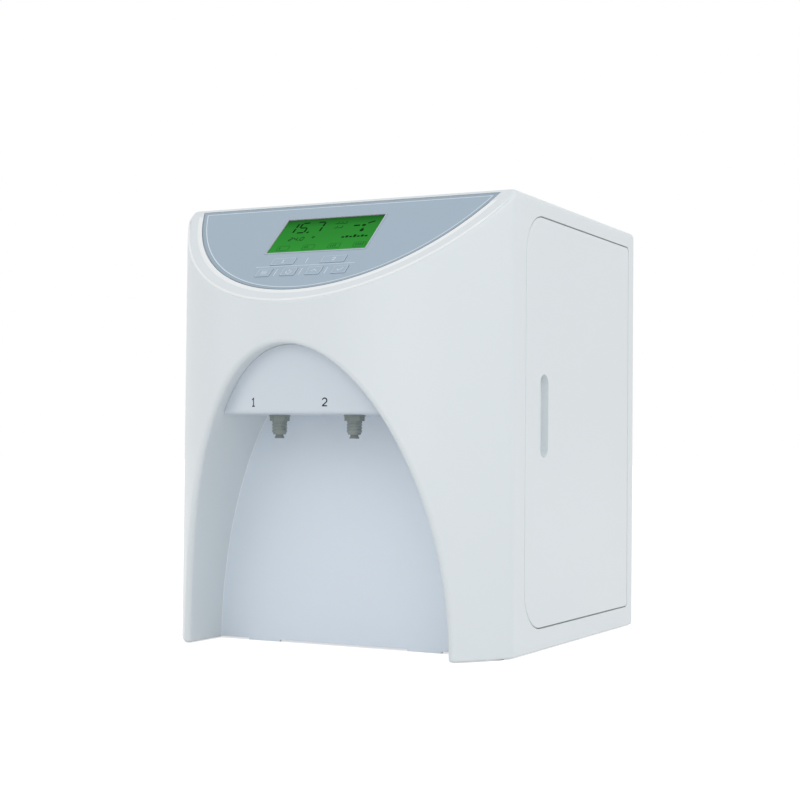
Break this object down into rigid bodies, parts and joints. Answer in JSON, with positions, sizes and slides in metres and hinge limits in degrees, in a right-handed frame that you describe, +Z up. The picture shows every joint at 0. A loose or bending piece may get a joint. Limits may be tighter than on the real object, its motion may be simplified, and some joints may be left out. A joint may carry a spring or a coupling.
{
  "type": "reverse osmosis water purifier",
  "caption": "Benchtop laboratory water purifier with a bowed front, an arched dispensing niche under push-in outlets, a sloping console with display and keys, side doors and rear ports.",
  "frame": {"origin": "on the bench, at the middle of the space that the object fills in plan", "axes": "+Z up, +Y from the bowed front with the console and niche to the rear panel, +X to the right as seen from the front"},
  "size_m": [0.4, 0.5254, 0.48],
  "materials": {
    "shell": "satin",
    "niche": "satin",
    "console": "matte film",
    "window": "clear",
    "lcd": "matte",
    "board": "satin",
    "sheet": "powder coated",
    "rubber": "matte",
    "steel": "zinc plated",
    "black": "matte",
    "fitting": "satin",
    "collet": "satin",
    "cartridge": "gloss",
    "head": "satin",
    "clip": "satin",
    "motor": "satin",
    "supply": "satin",
    "tube": "satin",
    "cable": "matte"
  },
  "bodies": {
    "cabinet": {"housing_shell": "shell", "top_cover": "shell", "rear_panel": "sheet", "base_pan": "sheet", "partition": "sheet", "head_brackets": "sheet", "rubber_feet": "rubber", "niche_panel": "niche", "outlet_hood": "niche", "cabinet_screws": "steel", "small_screws": "steel", "hinge_pins": "steel", "door_magnets": "black", "console_panel": "console", "lcd_frame": "shell", "lcd_window": "window", "lcd_module": "lcd", "key_board": "board", "control_board": "board", "outlet_bodies": "fitting", "rear_ports": "fitting", "port_nuts": "fitting", "locknuts": "fitting", "power_inlet": "black", "prefilter_1": "cartridge", "prefilter_2": "cartridge", "prefilter_3": "cartridge", "polisher_1": "cartridge", "polisher_2": "cartridge", "cartridge_heads": "head", "cartridge_clips": "clip", "membrane_clips": "clip", "membrane_housing": "cartridge", "pump_motor": "motor", "pump_head": "head", "pump_cradle": "black", "inlet_valve": "head", "power_supply": "supply", "line_fittings": "fitting", "feed_tubes": "tube", "product_tubes": "tube", "drain_tubes": "tube", "wiring": "cable"},
    "door_right": {"door_right": "shell", "striker_right": "steel"},
    "door_left": {"door_left": "shell", "striker_left": "steel"},
    "collet_1": {"collet_1": "collet"},
    "collet_2": {"collet_2": "collet"},
    "feed_collet": {"feed_collet": "collet"},
    "tank_collet": {"tank_collet": "collet"},
    "drain_collet": {"drain_collet": "collet"},
    "fuse_drawer": {"fuse_drawer": "black"},
    "switch_rocker": {"switch_rocker": "black"},
    "key_1": {"key_1": "console"},
    "key_2": {"key_2": "console"},
    "key_3": {"key_3": "console"},
    "key_4": {"key_4": "console"},
    "key_5": {"key_5": "console"},
    "key_6": {"key_6": "console"}
  },
  "joints": [
    {"name": "door_right_hinge", "type": "hinge", "parent": "cabinet", "child": "door_right", "pos_m": [0.196, 0.2091, 0.24245], "axis": [0, 0, 1], "range_deg": [0, 115]},
    {"name": "door_left_hinge", "type": "hinge", "parent": "cabinet", "child": "door_left", "pos_m": [-0.196, 0.2091, 0.24245], "axis": [0, 0, -1], "range_deg": [0, 115]},
    {"name": "key_1_press", "type": "slide", "parent": "cabinet", "child": "key_1", "axis": [0, 0.6691, -0.7431], "range_m": [0, 0.0005], "stiffness_N_per_m": 1500},
    {"name": "key_2_press", "type": "slide", "parent": "cabinet", "child": "key_2", "axis": [0, 0.6691, -0.7431], "range_m": [0, 0.0005], "stiffness_N_per_m": 1500},
    {"name": "key_3_press", "type": "slide", "parent": "cabinet", "child": "key_3", "axis": [0, 0.6691, -0.7431], "range_m": [0, 0.0005], "stiffness_N_per_m": 1500},
    {"name": "key_4_press", "type": "slide", "parent": "cabinet", "child": "key_4", "axis": [0, 0.6691, -0.7431], "range_m": [0, 0.0005], "stiffness_N_per_m": 1500},
    {"name": "key_5_press", "type": "slide", "parent": "cabinet", "child": "key_5", "axis": [0, 0.6691, -0.7431], "range_m": [0, 0.0005], "stiffness_N_per_m": 1500},
    {"name": "key_6_press", "type": "slide", "parent": "cabinet", "child": "key_6", "axis": [0, 0.6691, -0.7431], "range_m": [0, 0.0005], "stiffness_N_per_m": 1500},
    {"name": "collet_1_release", "type": "slide", "parent": "cabinet", "child": "collet_1", "axis": [0, 0, 1], "range_m": [0, 0.0012]},
    {"name": "collet_2_release", "type": "slide", "parent": "cabinet", "child": "collet_2", "axis": [0, 0, 1], "range_m": [0, 0.0012]},
    {"name": "feed_collet_release", "type": "slide", "parent": "cabinet", "child": "feed_collet", "axis": [0, -1, 0], "range_m": [0, 0.0012]},
    {"name": "tank_collet_release", "type": "slide", "parent": "cabinet", "child": "tank_collet", "axis": [0, -1, 0], "range_m": [0, 0.0012]},
    {"name": "drain_collet_release", "type": "slide", "parent": "cabinet", "child": "drain_collet", "axis": [0, -1, 0], "range_m": [0, 0.0012]},
    {"name": "fuse_drawer_pull", "type": "slide", "parent": "cabinet", "child": "fuse_drawer", "axis": [0, 1, 0], "range_m": [0, 0.012]},
    {"name": "switch_rock", "type": "hinge", "parent": "cabinet", "child": "switch_rocker", "pos_m": [-0.14, 0.2368, 0.094], "axis": [-1, 0, 0], "range_deg": [0, 16]}
  ]
}
